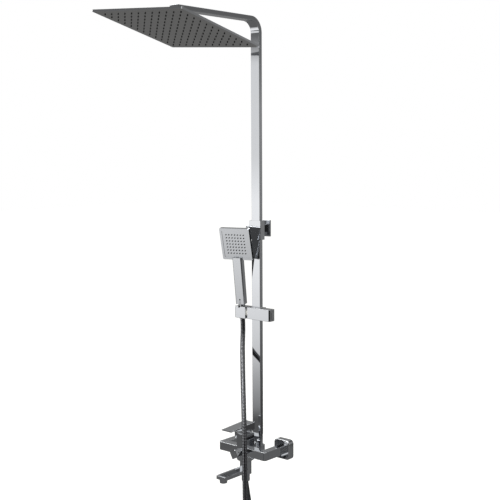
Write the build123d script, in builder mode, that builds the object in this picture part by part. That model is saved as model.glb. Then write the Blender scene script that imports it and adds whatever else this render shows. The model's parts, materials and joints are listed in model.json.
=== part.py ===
"""Rainfall shower column with a bath mixer, a sliding hand shower and a square overhead shower.

Frame: millimetres, +X to the right along the wall, -Y out into the room, +Z up.
The origin is on the finished wall, midway between the two water inlets.
"""

from build123d import *
from math import radians, sqrt, tan
import os

os.makedirs("parts", exist_ok=True)

# ---------------------------------------------------------------- driving dimensions
INLET_HALF = 75.0  # half of the 150 mm inlet spacing
THREAD_R = 10.475  # G1/2 male thread, outer radius
GAP = 0.3  # clearance between bodies that only pass each other
RUN = 0.05  # radial running clearance of a shaft in its bore

TUBE_W, TUBE_D, TUBE_WALL = 30.0, 12.0, 1.2  # flat rectangular riser tube
RISER_Y = -33.0  # riser centre line in front of the wall
RISER_FOOT = 34.0
ARM_TOP = 1190.0
ARM_END = -343.0
BEND_OUT = 42.0

COLUMN_W = 36.0  # square upright of the mixer
COLUMN_Y = -86.0
COLUMN_LOW, COLUMN_TOP = -32.0, 48.0
FOOT_CHAMFER = 5.0
BODY_FRONT = COLUMN_Y - COLUMN_W / 2
BAR_H = 24.0
BAR_END = 86.0
BAR_BACK = -80.0
UNION_W = 22.0
UNION_FRONT = -91.0
UNION_REAR = -39.0
ESCUTCHEON, ESCUTCHEON_D = 55.0, 19.5

CHAMBER_R, CHAMBER_LOW = 13.2, 10.0
DIVERTER_Z, DIVERTER_R = -2.0, 6.4
KNOB, KNOB_FRONT, KNOB_BACK, KNOB_TURN = 22.0, -136.5, -116.5, 28.0
NIPPLE_R, NIPPLE_LOW = 8.0, -86.0
COLLAR, COLLAR_LOW, COLLAR_TOP = 24.0, -69.0, -32.3
SPOUT_W, SPOUT_TIP, SPOUT_LOW, SPOUT_TOP = 34.0, -190.0, -60.0, -50.0
AERATOR_Y, AERATOR_R = -178.0, 10.5

LEVER_W, LEVER_TIP, LEVER_BACK = 36.0, -165.0, -67.0
LEVER_PIVOT = 42.0

BRACKET_TOP, BRACKET_H, BRACKET_W = 638.5, 52.5, 41.4
BRACKET_FRONT, BRACKET_BACK = -42.5, -24.5
FLANGE, FLANGE_D = 45.4, 5.0
FLANGE_Z = BRACKET_TOP - FLANGE / 2

SLIDER_LOW, SLIDER_TOP = 363.0, 396.0
SLIDER_LEFT, SLIDER_RIGHT = -21.0, 60.0
SLIDER_FRONT, SLIDER_BACK = -52.0, -28.0
SLIDER_Z = (SLIDER_LOW + SLIDER_TOP) / 2
HOLDER_LEFT, HOLDER_RIGHT = -66.0, -26.6
SOCKET_X, SOCKET_Y = -49.5, -40.5

HANDSET_TILT, HANDSET_ROLL, HANDSET_YAW = 8.6, 2.0, 14.0
HEAD_SIZE, HEAD_UP, HEAD_FORWARD, HEAD_TIP = 92.0, 197.0, 7.0, 6.0
HANDLE_W, HANDLE_LOW, HANDLE_TOP = 28.0, 24.0, 158.0

PLATE, PLATE_THICK = 300.0, 5.0
BALL_R = 9.0
BALL_Y, BALL_Z = -330.0, 1150.0
PLATE_DROP = 20.0  # ball centre to the plate's lower face
PLATE_LEAN, PLATE_SIDE, PLATE_TURN = -12.4, 3.3, 3.2
NOZZLE_ROWS, NOZZLE_PITCH = 12, 23.0
HANDSET_ROWS, HANDSET_PITCH = 7, 9.0

HOSE_R = 7.0

# ---------------------------------------------------------------- placing helpers


def front(depth):
    """A plane parallel to the wall, depth mm out into the room, that faces the room."""
    return Plane.XZ.offset(depth)


def side(x):
    """A plane square to the X axis at x; its first direction is +Y and its second is +Z."""
    return Plane.YZ.offset(x)


def level(z):
    """A horizontal plane at height z."""
    return Plane.XY.offset(z)


# ================================================================ riser and arm
MID_BEND = BEND_OUT - TUBE_D / 2
ARM_Z = ARM_TOP - TUBE_D / 2


with BuildPart() as riser_tube:
    with BuildLine() as riser_path:
        FilletPolyline(
            (0, RISER_Y, RISER_FOOT),
            (0, RISER_Y, ARM_Z),
            (0, ARM_END, ARM_Z),
            radius=MID_BEND,
        )
    with BuildSketch(level(RISER_FOOT)):
        with Locations((0, RISER_Y)):
            RectangleRounded(TUBE_W, TUBE_D, 1.0)
            Rectangle(TUBE_W - 2 * TUBE_WALL, TUBE_D - 2 * TUBE_WALL, mode=Mode.SUBTRACT)
    sweep(path=riser_path)
    with BuildSketch(level(ARM_Z)):
        with Locations((0, BALL_Y)):
            Circle(7.0)
    extrude(amount=-TUBE_D, mode=Mode.SUBTRACT)
riser_tube.part.label = "riser_tube"
export_step(riser_tube.part, "parts/riser_tube.step")

with BuildPart() as arm_end_cap:
    with BuildSketch(front(-ARM_END)):
        with Locations((0, ARM_Z)):
            RectangleRounded(TUBE_W, TUBE_D, 1.0)
    extrude(amount=2)
    chamfer(arm_end_cap.faces().sort_by(Axis.Y)[0].edges(), length=0.4)
    with BuildSketch(front(-ARM_END)):
        with Locations((0, ARM_Z)):
            Rectangle(TUBE_W - 2 * TUBE_WALL - 0.2, TUBE_D - 2 * TUBE_WALL - 0.2)
    extrude(amount=-4)
arm_end_cap.part.label = "arm_end_cap"
export_step(arm_end_cap.part, "parts/arm_end_cap.step")

with BuildPart() as riser_connector:
    with BuildSketch(level(2)):
        with Locations((0, RISER_Y)):
            RectangleRounded(TUBE_W - 1.2, TUBE_D - 1.0, 1.0)
    extrude(amount=RISER_FOOT - 2)
    with BuildSketch(level(RISER_FOOT)):
        with Locations((0, RISER_Y)):
            Rectangle(TUBE_W - 2 * TUBE_WALL - 0.1, TUBE_D - 2 * TUBE_WALL - 0.1)
    extrude(amount=26)
    with BuildSketch(level(2)):
        with Locations((0, RISER_Y)):
            Circle(4.7)
    extrude(amount=-10)
    with BuildSketch(level(-8)):
        with Locations((0, RISER_Y)):
            Circle(3.0)
    extrude(amount=72, mode=Mode.SUBTRACT)
    for groove in (42, 52):
        with BuildSketch(level(groove)):
            with Locations((0, RISER_Y)):
                Rectangle(TUBE_W, TUBE_D)
                Rectangle(TUBE_W - 2 * TUBE_WALL - 2, TUBE_D - 2 * TUBE_WALL - 2, mode=Mode.SUBTRACT)
        extrude(amount=2, mode=Mode.SUBTRACT)
riser_connector.part.label = "riser_connector"
export_step(riser_connector.part, "parts/riser_connector.step")

with BuildPart() as connector_seals:
    for groove in (42, 52):
        with BuildSketch(level(groove + 0.1)):
            with Locations((0, RISER_Y)):
                Rectangle(TUBE_W - 2 * TUBE_WALL, TUBE_D - 2 * TUBE_WALL)
                Rectangle(TUBE_W - 2 * TUBE_WALL - 2, TUBE_D - 2 * TUBE_WALL - 2, mode=Mode.SUBTRACT)
        extrude(amount=1.8)
connector_seals.part.label = "connector_seals"
export_step(connector_seals.part, "parts/connector_seals.step")

# ================================================================ mixer body
BAR_MID = (UNION_FRONT + BODY_FRONT) / 2

with BuildPart() as mixer_body:
    with BuildSketch(level(-BAR_H / 2)) as bar_plan:
        with BuildLine():
            Polyline(
                (-BAR_END, UNION_FRONT),
                (-BAR_END, BODY_FRONT),
                (BAR_END, BODY_FRONT),
                (BAR_END, UNION_FRONT),
                (INLET_HALF - UNION_W / 2, UNION_FRONT),
                (INLET_HALF - UNION_W / 2, BAR_BACK),
                (UNION_W / 2 - INLET_HALF, BAR_BACK),
                (UNION_W / 2 - INLET_HALF, UNION_FRONT),
                close=True,
            )
        make_face()
        fillet(bar_plan.vertices().group_by(Axis.Y)[0], radius=8)
    extrude(amount=BAR_H)
    fillet(mixer_body.faces().filter_by(Axis.Z).edges(), radius=1.2)
    with BuildSketch(level(COLUMN_LOW)):
        with Locations((0, COLUMN_Y)):
            RectangleRounded(COLUMN_W - 2 * FOOT_CHAMFER, COLUMN_W - 2 * FOOT_CHAMFER, 1.2)
    with BuildSketch(level(COLUMN_LOW + FOOT_CHAMFER)):
        with Locations((0, COLUMN_Y)):
            RectangleRounded(COLUMN_W, COLUMN_W, 2.0)
    loft()
    with BuildSketch(level(COLUMN_LOW + FOOT_CHAMFER)):
        with Locations((0, COLUMN_Y)):
            RectangleRounded(COLUMN_W, COLUMN_W, 2.0)
    extrude(amount=COLUMN_TOP - COLUMN_LOW - FOOT_CHAMFER)
    chamfer(mixer_body.faces().sort_by(Axis.Z)[-1].edges(), length=0.8)
    with BuildSketch(level(-BAR_H / 2)) as foot_plan:
        with Locations((0, (BAR_BACK - 17) / 2)):
            Rectangle(32, -17 - BAR_BACK + 4)
        fillet(foot_plan.vertices().group_by(Axis.Y)[-1], radius=10)
    extrude(amount=BAR_H / 2 + 2)
    # cartridge chamber and its three ports
    with BuildSketch(level(COLUMN_TOP)):
        with Locations((0, COLUMN_Y)):
            Circle(CHAMBER_R)
    extrude(amount=CHAMBER_LOW - COLUMN_TOP, mode=Mode.SUBTRACT)
    with BuildSketch(level(CHAMBER_LOW + 1)):
        with Locations((-9, -92), (9, -92)):
            Circle(2.4)
    extrude(amount=-13, mode=Mode.SUBTRACT)
    with BuildSketch(level(CHAMBER_LOW + 1)):
        with Locations((0, -80)):
            Circle(3.5)
    extrude(amount=-12, mode=Mode.SUBTRACT)
    # hot and cold ways from the inlets to the chamber
    for sign in (-1, 1):
        with BuildSketch(side(sign * 8)):
            with Locations((BAR_MID, 0)):
                Circle(4.5)
        extrude(amount=sign * (INLET_HALF - 8), mode=Mode.SUBTRACT)
        with BuildSketch(front(-UNION_FRONT - 1)):
            with Locations((sign * INLET_HALF, 0)):
                Circle(9.0)
        extrude(amount=8, mode=Mode.SUBTRACT)
    # diverter bore, outlet down to the spout and outlet back to the riser
    with BuildSketch(front(-BODY_FRONT)):
        with Locations((0, DIVERTER_Z)):
            Circle(DIVERTER_R)
    extrude(amount=-30, mode=Mode.SUBTRACT)
    with BuildSketch(level(COLUMN_LOW)):
        with Locations((0, COLUMN_Y)):
            Circle(NIPPLE_R)
    extrude(amount=22, mode=Mode.SUBTRACT)
    with BuildSketch(front(30)):
        with Locations((0, DIVERTER_Z - 3)):
            Circle(3.5)
    extrude(amount=46, mode=Mode.SUBTRACT)
    with BuildSketch(level(3)):
        with Locations((0, RISER_Y)):
            Circle(4.7)
    extrude(amount=-11, mode=Mode.SUBTRACT)
mixer_body.part.label = "mixer_body"
export_step(mixer_body.part, "parts/mixer_body.step")

with BuildPart() as body_plug:
    with BuildSketch(level(2)):
        with Locations((0, -56)):
            Circle(11)
    extrude(amount=12)
    chamfer(body_plug.edges().group_by(Axis.Z)[-1], length=1.2)
body_plug.part.label = "body_plug"
export_step(body_plug.part, "parts/body_plug.step")

# ---------------------------------------------------------------- cartridge
CARRIER_R = 7.9

with BuildPart() as cartridge:
    with BuildSketch(level(CHAMBER_LOW)):
        with Locations((0, COLUMN_Y)):
            Circle(CHAMBER_R - 0.2)
    extrude(amount=30)
    with BuildSketch(level(CHAMBER_LOW + 30)):
        with Locations((0, COLUMN_Y)):
            Circle(CARRIER_R + RUN)
    extrude(amount=-14, mode=Mode.SUBTRACT)
    with BuildSketch(level(CHAMBER_LOW)):
        with Locations((-7.5, -90), (7.5, -90), (0, -80)):
            Circle(2.5)
    extrude(amount=6, mode=Mode.SUBTRACT)
cartridge.part.label = "cartridge"
export_step(cartridge.part, "parts/cartridge.step")

with BuildPart() as cartridge_nut:
    with BuildSketch(level(CHAMBER_LOW + 30)):
        with Locations((0, COLUMN_Y)):
            Circle(CHAMBER_R - 0.1)
            Circle(CARRIER_R + RUN, mode=Mode.SUBTRACT)
    extrude(amount=7.5)
cartridge_nut.part.label = "cartridge_nut"
export_step(cartridge_nut.part, "parts/cartridge_nut.step")

with BuildPart() as cartridge_cover:
    with BuildSketch(level(COLUMN_TOP)):
        with Locations((0, COLUMN_Y)):
            RectangleRounded(COLUMN_W - 4, COLUMN_W - 4, 2.0)
            Circle(9.5, mode=Mode.SUBTRACT)
    extrude(amount=1.6)
cartridge_cover.part.label = "cartridge_cover"
export_step(cartridge_cover.part, "parts/cartridge_cover.step")

STEM_W, STEM_D = 7.0, 6.0
PIVOT_R = 1.5

with BuildPart() as stem_carrier:
    with BuildSketch(level(28)):
        with Locations((0, COLUMN_Y)):
            Circle(CARRIER_R)
    extrude(amount=19)
    with BuildSketch(level(34)):
        with Locations((0, COLUMN_Y)):
            Rectangle(STEM_W + 2 * RUN, 4 * CARRIER_R)
    extrude(amount=20, mode=Mode.SUBTRACT)
    with BuildSketch(side(-CARRIER_R - 1)):
        with Locations((COLUMN_Y, LEVER_PIVOT)):
            Circle(PIVOT_R + RUN)
    extrude(amount=2 * CARRIER_R + 2, mode=Mode.SUBTRACT)
stem_carrier.part.label = "stem_carrier"
export_step(stem_carrier.part, "parts/stem_carrier.step")

with BuildPart() as lever_stem:
    with BuildSketch(level(37)):
        with Locations((0, COLUMN_Y)):
            Rectangle(STEM_W, STEM_D)
    extrude(amount=25)
    with BuildSketch(side(-CARRIER_R + 0.5)):
        with Locations((COLUMN_Y, LEVER_PIVOT)):
            Circle(PIVOT_R)
    extrude(amount=2 * CARRIER_R - 1)
lever_stem.part.label = "lever_stem"
export_step(lever_stem.part, "parts/lever_stem.step")

# ---------------------------------------------------------------- lever
HUB_LOW = COLUMN_TOP + 2.2
BLADE_FRONT_Z, BLADE_BACK_Z = 72.0, 78.0

with BuildPart() as lever_handle:
    with BuildSketch(side(-LEVER_W / 2)):
        with BuildLine():
            Polyline(
                (LEVER_TIP, BLADE_FRONT_Z),
                (LEVER_BACK, BLADE_BACK_Z),
                (LEVER_BACK, HUB_LOW + 8.5),
                (COLUMN_Y - 2, HUB_LOW),
                (-103, HUB_LOW),
                (-106, HUB_LOW + 5),
                (-119, 70.3),
                (LEVER_TIP, 69.6),
                close=True,
            )
        make_face()
    extrude(amount=LEVER_W)
    rims = lever_handle.edges().filter_by(lambda e: abs(abs(e.center().X) - LEVER_W / 2) < 0.01)
    fillet(rims.filter_by(lambda e: e.length > 2.6), radius=0.7)
    with BuildSketch(level(HUB_LOW - 1)):
        with Locations((0, COLUMN_Y)):
            Circle(9.3)
    extrude(amount=5.6, mode=Mode.SUBTRACT)
    with BuildSketch(level(HUB_LOW)):
        with Locations((0, COLUMN_Y)):
            Rectangle(STEM_W, STEM_D)
    extrude(amount=62 - HUB_LOW, mode=Mode.SUBTRACT)
    with BuildSketch(side(STEM_W / 2)):
        with Locations((COLUMN_Y, 59)):
            Circle(2.0)
    extrude(amount=20, mode=Mode.SUBTRACT)
lever_handle.part.label = "lever_handle"
export_step(lever_handle.part, "parts/lever_handle.step")

with BuildPart() as lever_set_screw:
    with BuildSketch(side(STEM_W / 2)):
        with Locations((COLUMN_Y, 59)):
            Circle(2.0)
    extrude(amount=8)
    with BuildSketch(side(STEM_W / 2 + 8)):
        with Locations((COLUMN_Y, 59)):
            RegularPolygon(1.1, 6)
    extrude(amount=-3, mode=Mode.SUBTRACT)
lever_set_screw.part.label = "lever_set_screw"
export_step(lever_set_screw.part, "parts/lever_set_screw.step")

# ---------------------------------------------------------------- diverter
STEM_R = 4.0

with BuildPart() as diverter_sleeve:
    with BuildSketch(front(-BODY_FRONT)):
        with Locations((0, DIVERTER_Z)):
            Circle(DIVERTER_R - 0.05)
    extrude(amount=-26)
    with BuildSketch(front(-BODY_FRONT)):
        with Locations((0, DIVERTER_Z)):
            Circle(9.0)
    extrude(amount=BODY_FRONT - KNOB_BACK - 0.4)
    with BuildSketch(front(-KNOB_BACK)):
        with Locations((0, DIVERTER_Z)):
            Circle(STEM_R + RUN)
    extrude(amount=-50, mode=Mode.SUBTRACT)
    with BuildSketch(level(CHAMBER_LOW)):
        with Locations((0, -88)):
            Circle(2.5)
    extrude(amount=-30, mode=Mode.SUBTRACT)
diverter_sleeve.part.label = "diverter_sleeve"
export_step(diverter_sleeve.part, "parts/diverter_sleeve.step")

with BuildPart() as diverter_stem:
    with BuildSketch(front(82)):
        with Locations((0, DIVERTER_Z)):
            Circle(STEM_R)
    extrude(amount=-KNOB_FRONT - 82 - 5)
    for groove in (94, 100):
        with BuildSketch(front(groove)):
            with Locations((0, DIVERTER_Z)):
                Circle(STEM_R + 1)
                Circle(STEM_R - 1, mode=Mode.SUBTRACT)
        extrude(amount=1.6, mode=Mode.SUBTRACT)
diverter_stem.part.label = "diverter_stem"
export_step(diverter_stem.part, "parts/diverter_stem.step")

with BuildPart() as diverter_seals:
    for groove in (94, 100):
        with BuildSketch(front(groove + 0.1)):
            with Locations((0, DIVERTER_Z)):
                Circle(STEM_R)
                Circle(STEM_R - 1, mode=Mode.SUBTRACT)
        extrude(amount=1.4)
diverter_seals.part.label = "diverter_seals"
export_step(diverter_seals.part, "parts/diverter_seals.step")

knob_rear = Plane(origin=(0, KNOB_BACK, DIVERTER_Z), x_dir=(1, 0, 0), z_dir=(0, -1, 0))
knob_plane = Plane(knob_rear.location * Rotation(0, 0, KNOB_TURN))
screw_plane = Plane(
    origin=knob_plane.from_local_coords((0, 0, 9)),
    x_dir=knob_plane.z_dir,
    z_dir=knob_plane.x_dir,
)

with BuildPart() as diverter_knob:
    with BuildSketch(knob_plane):
        RectangleRounded(KNOB, KNOB, 2.5)
    extrude(amount=KNOB_BACK - KNOB_FRONT)
    chamfer(diverter_knob.faces().sort_by(Axis.Y)[0].edges(), length=0.7)
    with BuildSketch(knob_plane):
        Circle(STEM_R)
    extrude(amount=KNOB_BACK - KNOB_FRONT - 5, mode=Mode.SUBTRACT)
    with BuildSketch(screw_plane):
        Circle(2.0)
    extrude(amount=KNOB, mode=Mode.SUBTRACT)
diverter_knob.part.label = "diverter_knob"
export_step(diverter_knob.part, "parts/diverter_knob.step")

with BuildPart() as diverter_set_screw:
    with BuildSketch(screw_plane.offset(STEM_R + 0.05)):
        Circle(2.0)
    extrude(amount=5.5)
    with BuildSketch(screw_plane.offset(STEM_R + 5.55)):
        RegularPolygon(1.1, 6)
    extrude(amount=-2.5, mode=Mode.SUBTRACT)
diverter_set_screw.part.label = "diverter_set_screw"
export_step(diverter_set_screw.part, "parts/diverter_set_screw.step")

# ---------------------------------------------------------------- spout and hose outlet
with BuildPart() as outlet_nipple:
    with BuildSketch(level(NIPPLE_LOW)):
        with Locations((0, COLUMN_Y)):
            Circle(NIPPLE_R - 0.05)
    extrude(amount=COLUMN_LOW + 20 - NIPPLE_LOW)
    for groove in (-42.0, -66.0):
        with BuildSketch(level(groove)):
            with Locations((0, COLUMN_Y)):
                Circle(NIPPLE_R + 1)
                Circle(NIPPLE_R - 1.2, mode=Mode.SUBTRACT)
        extrude(amount=2, mode=Mode.SUBTRACT)
    with BuildSketch(level(NIPPLE_LOW)):
        with Locations((0, COLUMN_Y)):
            Circle(4.5)
    extrude(amount=90, mode=Mode.SUBTRACT)
    with BuildSketch(front(70)):
        with Locations((0, -54)):
            Rectangle(5, 8)
    extrude(amount=30, mode=Mode.SUBTRACT)
outlet_nipple.part.label = "outlet_nipple"
export_step(outlet_nipple.part, "parts/outlet_nipple.step")

with BuildPart() as spout_seals:
    for groove in (-42.0, -66.0):
        with BuildSketch(level(groove + 0.1)):
            with Locations((0, COLUMN_Y)):
                Circle(NIPPLE_R - 0.05)
                Circle(NIPPLE_R - 1.2, mode=Mode.SUBTRACT)
        extrude(amount=1.8)
spout_seals.part.label = "spout_seals"
export_step(spout_seals.part, "parts/spout_seals.step")

with BuildPart() as spout:
    with BuildSketch(level(COLLAR_LOW)):
        with Locations((0, COLUMN_Y)):
            RectangleRounded(COLLAR, COLLAR, 1.5)
    extrude(amount=COLLAR_TOP - COLLAR_LOW)
    with BuildSketch(level(SPOUT_LOW)):
        with Locations((0, (SPOUT_TIP - 93) / 2)):
            RectangleRounded(SPOUT_W, -93 - SPOUT_TIP, 3.0)
    extrude(amount=SPOUT_TOP - SPOUT_LOW)
    rims = spout.edges().filter_by(lambda e: e.center().Y < -100)
    fillet(rims.filter_by(lambda e: abs(e.center().Z - SPOUT_TOP) < 0.01), radius=0.8)
    with BuildSketch(front(90)):
        with Locations((0, (SPOUT_LOW + SPOUT_TOP) / 2)):
            Rectangle(24, 6)
    extrude(amount=-SPOUT_TIP - 93, mode=Mode.SUBTRACT)
    with BuildSketch(level(SPOUT_LOW)):
        with Locations((0, AERATOR_Y)):
            Circle(8.5)
    extrude(amount=3, mode=Mode.SUBTRACT)
    with BuildSketch(level(COLLAR_LOW - 1)):
        with Locations((0, COLUMN_Y)):
            Circle(NIPPLE_R)
    extrude(amount=40, mode=Mode.SUBTRACT)
spout.part.label = "spout"
export_step(spout.part, "parts/spout.step")

with BuildPart() as aerator_shell:
    with BuildSketch(level(SPOUT_LOW)):
        with Locations((0, AERATOR_Y)):
            Circle(AERATOR_R)
            Circle(7.5, mode=Mode.SUBTRACT)
    extrude(amount=-10)
    with BuildSketch(level(SPOUT_LOW)):
        with Locations((0, AERATOR_Y)):
            Circle(8.45)
            Circle(7.5, mode=Mode.SUBTRACT)
    extrude(amount=2.5)
    fillet(aerator_shell.edges().filter_by(GeomType.CIRCLE).group_by(Axis.Z)[0], radius=0.6)
aerator_shell.part.label = "aerator_shell"
export_step(aerator_shell.part, "parts/aerator_shell.step")

with BuildPart() as aerator_insert:
    with BuildSketch(level(SPOUT_LOW - 8.5)):
        with Locations((0, AERATOR_Y)):
            Circle(7.45)
            with PolarLocations(4.8, 10):
                Circle(0.8, mode=Mode.SUBTRACT)
    extrude(amount=7)
aerator_insert.part.label = "aerator_insert"
export_step(aerator_insert.part, "parts/aerator_insert.step")

NUT_LOW, NUT_TOP = -88.0, -70.0

with BuildPart() as hose_lower_nut:
    with BuildSketch(level(NUT_LOW)):
        with Locations((0, COLUMN_Y)):
            Circle(11.5)
            with PolarLocations(11.5, 12):
                Circle(1.2, mode=Mode.SUBTRACT)
    extrude(amount=NUT_TOP - NUT_LOW)
    chamfer(hose_lower_nut.faces().sort_by(Axis.Z)[0].outer_wire().edges(), length=0.5)
    with BuildSketch(level(NUT_TOP)):
        with Locations((0, COLUMN_Y)):
            Circle(NIPPLE_R)
    extrude(amount=NIPPLE_LOW - NUT_TOP, mode=Mode.SUBTRACT)
    with BuildSketch(level(NUT_LOW)):
        with Locations((0, COLUMN_Y)):
            Circle(3.0)
    extrude(amount=4, mode=Mode.SUBTRACT)
hose_lower_nut.part.label = "hose_lower_nut"
export_step(hose_lower_nut.part, "parts/hose_lower_nut.step")

# ================================================================ wall unions
for name, sign in (("left", -1), ("right", 1)):
    centre = sign * INLET_HALF
    with BuildPart() as union:
        with BuildSketch(front(-15)):
            with Locations((centre, 0)):
                Circle(THREAD_R)
        extrude(amount=15)
        with BuildSketch(Plane.XZ):
            with Locations((centre, 0)):
                Circle(THREAD_R - 0.2)
        extrude(amount=ESCUTCHEON_D)
        with BuildSketch(front(ESCUTCHEON_D)):
            with Locations((centre, 0)):
                Circle(8.9)
        extrude(amount=4 - ESCUTCHEON_D - UNION_FRONT)
        with BuildSketch(front(-15)):
            with Locations((centre, 0)):
                Circle(6.5)
        extrude(amount=120, mode=Mode.SUBTRACT)
    union.part.label = f"{name}_union"
    export_step(union.part, f"parts/{name}_union.step")

    with BuildPart() as escutcheon:
        with BuildSketch(Plane.XZ):
            with Locations((centre, 0)):
                RectangleRounded(ESCUTCHEON, ESCUTCHEON, 11)
        extrude(amount=ESCUTCHEON_D)
        fillet(escutcheon.faces().sort_by(Axis.Y)[0].edges(), radius=3.5)
        with BuildSketch(Plane.XZ):
            with Locations((centre, 0)):
                RectangleRounded(ESCUTCHEON - 3, ESCUTCHEON - 3, 9.5)
        extrude(amount=ESCUTCHEON_D - 2, mode=Mode.SUBTRACT)
        with BuildSketch(Plane.XZ):
            with Locations((centre, 0)):
                Circle(THREAD_R + 0.3)
        extrude(amount=ESCUTCHEON_D + 1, mode=Mode.SUBTRACT)
    escutcheon.part.label = f"{name}_escutcheon"
    export_step(escutcheon.part, f"parts/{name}_escutcheon.step")

with BuildPart() as union_covers:
    with BuildSketch(front(-UNION_REAR)):
        with Locations((-INLET_HALF, 0), (INLET_HALF, 0)):
            RectangleRounded(UNION_W, BAR_H, 1.2)
            Circle(8.95, mode=Mode.SUBTRACT)
    extrude(amount=UNION_REAR - UNION_FRONT - 0.3)
union_covers.part.label = "union_covers"
export_step(union_covers.part, "parts/union_covers.step")

with BuildPart() as union_nuts:
    with BuildSketch(front(ESCUTCHEON_D + 0.2)):
        with Locations((-INLET_HALF, 0), (INLET_HALF, 0)):
            RectangleRounded(UNION_W - 1.5, BAR_H - 1.5, 2.0)
            Circle(8.95, mode=Mode.SUBTRACT)
    extrude(amount=-UNION_REAR - ESCUTCHEON_D - 0.7)
union_nuts.part.label = "union_nuts"
export_step(union_nuts.part, "parts/union_nuts.step")

with BuildPart() as inlet_washers:
    with BuildSketch(front(-UNION_FRONT + 4.1)):
        with Locations((-INLET_HALF, 0), (INLET_HALF, 0)):
            Circle(8.8)
            Circle(5.0, mode=Mode.SUBTRACT)
    extrude(amount=2.2)
inlet_washers.part.label = "inlet_washers"
export_step(inlet_washers.part, "parts/inlet_washers.step")

# ================================================================ wall bracket
CLAMP_LOW = BRACKET_TOP - BRACKET_H

with BuildPart() as bracket_clamp:
    with BuildSketch(level(CLAMP_LOW)):
        with Locations((0, (BRACKET_FRONT + BRACKET_BACK) / 2)):
            RectangleRounded(BRACKET_W, BRACKET_BACK - BRACKET_FRONT, 1.2)
        with Locations((0, RISER_Y)):
            Rectangle(TUBE_W, TUBE_D, mode=Mode.SUBTRACT)
    extrude(amount=BRACKET_H)
    with BuildSketch(side(-TUBE_W / 2)):
        with Locations((RISER_Y, FLANGE_Z + 2)):
            Circle(3.0)
    extrude(amount=-20, mode=Mode.SUBTRACT)
bracket_clamp.part.label = "bracket_clamp"
export_step(bracket_clamp.part, "parts/bracket_clamp.step")

with BuildPart() as bracket_screw:
    with BuildSketch(side(-TUBE_W / 2)):
        with Locations((RISER_Y, FLANGE_Z + 2)):
            Circle(2.95)
    extrude(amount=-7)
    with BuildSketch(side(-BRACKET_W / 2 - 0.1)):
        with Locations((RISER_Y, FLANGE_Z + 2)):
            Circle(6.2)
            with PolarLocations(6.2, 18):
                Circle(0.5, mode=Mode.SUBTRACT)
    extrude(amount=-15)
bracket_screw.part.label = "bracket_screw"
export_step(bracket_screw.part, "parts/bracket_screw.step")

with BuildPart() as bracket_arm:
    with BuildSketch(front(-BRACKET_BACK)):
        with Locations((0, FLANGE_Z)):
            RectangleRounded(22, 22, 1.5)
    extrude(amount=-(-BRACKET_BACK - FLANGE_D))
    with BuildSketch(front(FLANGE_D)):
        with Locations((0, FLANGE_Z)):
            Circle(6)
    extrude(amount=-2.9)
bracket_arm.part.label = "bracket_arm"
export_step(bracket_arm.part, "parts/bracket_arm.step")

with BuildPart() as wall_flange:
    with BuildSketch(Plane.XZ):
        with Locations((0, FLANGE_Z)):
            RectangleRounded(FLANGE, FLANGE, 1.5)
    extrude(amount=FLANGE_D)
    chamfer(wall_flange.faces().sort_by(Axis.Y)[0].edges(), length=0.5)
    with BuildSketch(Plane.XZ):
        with Locations((0, FLANGE_Z)):
            Rectangle(FLANGE - 3, FLANGE - 3)
    extrude(amount=FLANGE_D - 1.4, mode=Mode.SUBTRACT)
    with BuildSketch(Plane.XZ):
        with Locations((0, FLANGE_Z)):
            Circle(6.1)
    extrude(amount=FLANGE_D + 1, mode=Mode.SUBTRACT)
wall_flange.part.label = "wall_flange"
export_step(wall_flange.part, "parts/wall_flange.step")

SCREW_SPACING = 28.0

with BuildPart() as wall_plate:
    with BuildSketch(Plane.XZ):
        with Locations((0, FLANGE_Z)):
            RectangleRounded(FLANGE - 4, FLANGE - 4, 2)
            with GridLocations(SCREW_SPACING, 1, 2, 1):
                Circle(2.25, mode=Mode.SUBTRACT)
            Circle(3.0, mode=Mode.SUBTRACT)
    extrude(amount=2)
wall_plate.part.label = "wall_plate"
export_step(wall_plate.part, "parts/wall_plate.step")

# ================================================================ slider
with BuildPart() as slider_body:
    with BuildSketch(level(SLIDER_LOW)) as slider_plan:
        with Locations(((SLIDER_LEFT + SLIDER_RIGHT) / 2, (SLIDER_FRONT + SLIDER_BACK) / 2)):
            Rectangle(SLIDER_RIGHT - SLIDER_LEFT, SLIDER_BACK - SLIDER_FRONT)
        fillet(slider_plan.vertices().group_by(Axis.X)[-1], radius=5)
        with Locations((0, -26)):
            Rectangle(-2 * SLIDER_LEFT, 12)
    extrude(amount=SLIDER_TOP - SLIDER_LOW)
    edge_loop = slider_body.edges().group_by(Axis.Z)
    fillet(edge_loop[0] + edge_loop[-1], radius=0.8)
    with BuildSketch(level(SLIDER_LOW - 1)):
        with Locations((0, RISER_Y)):
            Rectangle(34.2, 16.2)
    extrude(amount=SLIDER_TOP - SLIDER_LOW + 2, mode=Mode.SUBTRACT)
    with BuildSketch(side(SLIDER_RIGHT)):
        with Locations((-39, SLIDER_Z)):
            Rectangle(14, 22)
    extrude(amount=-34, mode=Mode.SUBTRACT)
    with BuildSketch(side(14)):
        with Locations((-39, SLIDER_Z)):
            Circle(3.1)
    extrude(amount=15, mode=Mode.SUBTRACT)
    with BuildSketch(side(SLIDER_LEFT)):
        with Locations((SOCKET_Y, SLIDER_Z)):
            Circle(4.0)
    extrude(amount=3.9, mode=Mode.SUBTRACT)
slider_body.part.label = "slider_body"
export_step(slider_body.part, "parts/slider_body.step")

with BuildPart() as slider_liner:
    with BuildSketch(level(SLIDER_LOW + 0.5)):
        with Locations((0, RISER_Y)):
            Rectangle(34.2, 16.2)
            Rectangle(TUBE_W + 2 * RUN, TUBE_D + 2 * RUN, mode=Mode.SUBTRACT)
    extrude(amount=SLIDER_TOP - SLIDER_LOW - 1)
    with BuildSketch(side(14)):
        with Locations((-39, SLIDER_Z)):
            Circle(3.1)
    extrude(amount=6, mode=Mode.SUBTRACT)
slider_liner.part.label = "slider_liner"
export_step(slider_liner.part, "parts/slider_liner.step")

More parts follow.
